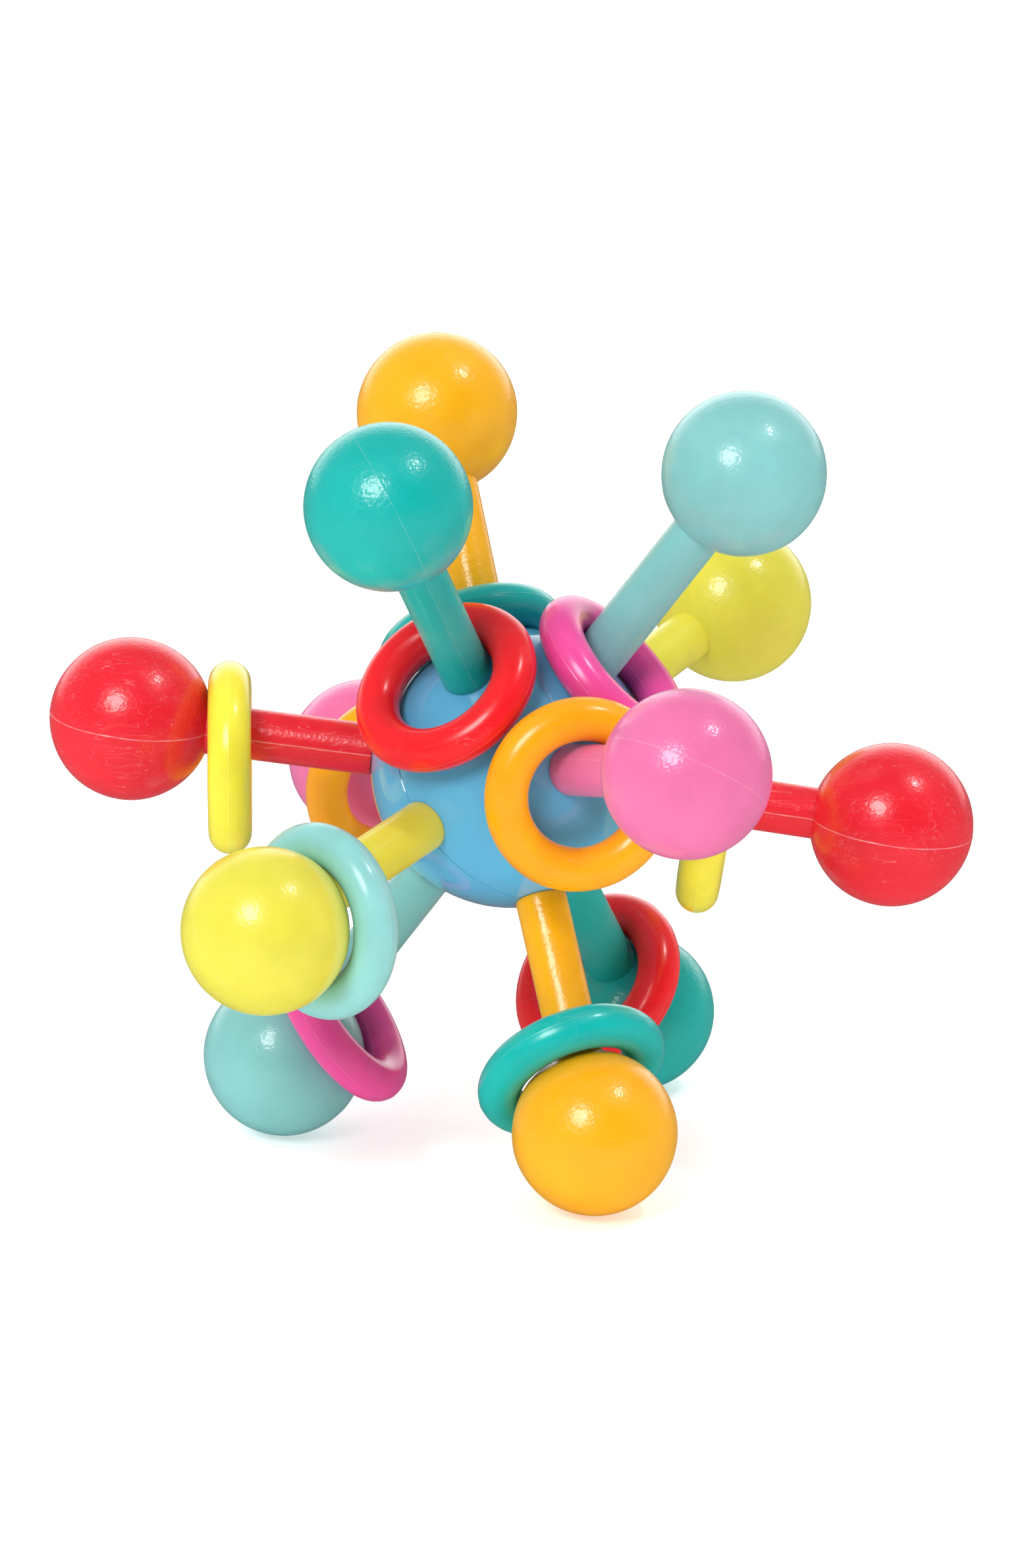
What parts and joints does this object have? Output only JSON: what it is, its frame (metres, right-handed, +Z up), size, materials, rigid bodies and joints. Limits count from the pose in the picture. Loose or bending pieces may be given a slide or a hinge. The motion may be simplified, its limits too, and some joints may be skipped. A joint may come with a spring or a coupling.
{
  "type": "baby rattle",
  "caption": "Hand rattle: a hollow core holding loose beads, soft arms ending in balls on all sides, and a loose ring sliding on each arm.",
  "frame": {"origin": "centre of the hollow core, which is the middle of the overall box", "axes": "+Z up with the rattle standing on its three lowest balls; +X along the pair of red arms, to the right; +Y away from the front"},
  "size_m": [0.1135, 0.0992, 0.0964],
  "materials": {
    "core_shell": "high gloss sky-blue moulded plastic",
    "orange_vinyl": "satin soft vinyl, orange",
    "teal_vinyl": "satin soft vinyl, teal",
    "aqua_vinyl": "satin soft vinyl, aqua",
    "yellow_vinyl": "satin soft vinyl, yellow",
    "red_vinyl": "satin soft vinyl, red",
    "pink_vinyl": "satin soft vinyl, pink",
    "teal_ring": "glossy moulded plastic, teal",
    "red_ring": "glossy moulded plastic, red",
    "magenta_ring": "glossy moulded plastic, magenta",
    "aqua_ring": "glossy moulded plastic, aqua",
    "yellow_ring": "glossy moulded plastic, yellow",
    "orange_ring": "glossy moulded plastic, orange",
    "bead": "plain off-white plastic"
  },
  "bodies": {
    "core": {"core_shell_tongue": "core_shell", "core_shell_groove": "core_shell", "arm_orange_top": "orange_vinyl", "arm_teal_top": "teal_vinyl", "arm_aqua_top": "aqua_vinyl", "arm_yellow_back": "yellow_vinyl", "arm_red_left": "red_vinyl", "arm_pink_front": "pink_vinyl", "arm_red_right": "red_vinyl", "arm_pink_back": "pink_vinyl", "arm_yellow_front": "yellow_vinyl", "arm_aqua_bottom": "aqua_vinyl", "arm_orange_bottom": "orange_vinyl", "arm_teal_bottom": "teal_vinyl"},
    "ring_orange_top": {"ring_orange_top": "teal_ring"},
    "ring_teal_top": {"ring_teal_top": "red_ring"},
    "ring_aqua_top": {"ring_aqua_top": "magenta_ring"},
    "ring_yellow_back": {"ring_yellow_back": "aqua_ring"},
    "ring_red_left": {"ring_red_left": "yellow_ring"},
    "ring_pink_front": {"ring_pink_front": "orange_ring"},
    "ring_red_right": {"ring_red_right": "yellow_ring"},
    "ring_pink_back": {"ring_pink_back": "orange_ring"},
    "ring_yellow_front": {"ring_yellow_front": "aqua_ring"},
    "ring_aqua_bottom": {"ring_aqua_bottom": "magenta_ring"},
    "ring_orange_bottom": {"ring_orange_bottom": "teal_ring"},
    "ring_teal_bottom": {"ring_teal_bottom": "red_ring"},
    "bead_middle": {"bead_middle": "bead"},
    "bead_right": {"bead_right": "bead"},
    "bead_back": {"bead_back": "bead"},
    "bead_front": {"bead_front": "bead"}
  },
  "joints": [
    {"name": "slide_orange_top", "type": "slide", "parent": "core", "child": "ring_orange_top", "axis": [-0.2546, 0.5219, 0.8141], "range_m": [0, 0.016]},
    {"name": "slide_teal_top", "type": "slide", "parent": "core", "child": "ring_teal_top", "axis": [-0.2904, -0.5029, 0.8141], "range_m": [0, 0.016]},
    {"name": "slide_aqua_top", "type": "slide", "parent": "core", "child": "ring_aqua_top", "axis": [0.5806, -0.0101, 0.8141], "range_m": [0, 0.016]},
    {"name": "slide_yellow_back", "type": "slide", "parent": "core", "child": "ring_yellow_back", "axis": [0.5344, 0.8073, 0.2504], "range_m": [0, 0.014]},
    {"name": "slide_red_left", "type": "slide", "parent": "core", "child": "ring_red_left", "axis": [-0.9962, 0, 0.0872], "range_m": [-0.0125, 0]},
    {"name": "slide_pink_front", "type": "slide", "parent": "core", "child": "ring_pink_front", "axis": [0.4914, -0.8342, 0.2504], "range_m": [0, 0.0125]},
    {"name": "slide_red_right", "type": "slide", "parent": "core", "child": "ring_red_right", "axis": [0.9944, -0.0174, -0.1045], "range_m": [-0.0015, 0.0105]},
    {"name": "slide_pink_back", "type": "slide", "parent": "core", "child": "ring_pink_back", "axis": [-0.4555, 0.8567, -0.2419], "range_m": [-0.012, 0.0004]},
    {"name": "slide_yellow_front", "type": "slide", "parent": "core", "child": "ring_yellow_front", "axis": [-0.553, -0.8046, -0.2164], "range_m": [-0.0135, 0]},
    {"name": "slide_aqua_bottom", "type": "slide", "parent": "core", "child": "ring_aqua_bottom", "axis": [-0.5805, -0.0152, -0.8141], "range_m": [-0.0125, 0]},
    {"name": "slide_orange_bottom", "type": "slide", "parent": "core", "child": "ring_orange_bottom", "axis": [0.2726, -0.5127, -0.8141], "range_m": [-0.0155, 0]},
    {"name": "slide_teal_bottom", "type": "slide", "parent": "core", "child": "ring_teal_bottom", "axis": [0.3205, 0.4842, -0.8141], "range_m": [-0.015, 0]},
    {"name": "bead_middle_bounce", "type": "slide", "parent": "core", "child": "bead_middle", "axis": [0, 0, 1], "range_m": [0, 0.024]},
    {"name": "bead_right_bounce", "type": "slide", "parent": "core", "child": "bead_right", "axis": [0, 0, 1], "range_m": [0, 0.015]},
    {"name": "bead_back_bounce", "type": "slide", "parent": "core", "child": "bead_back", "axis": [0, 0, 1], "range_m": [0, 0.015]},
    {"name": "bead_front_bounce", "type": "slide", "parent": "core", "child": "bead_front", "axis": [0, 0, 1], "range_m": [0, 0.015]}
  ]
}
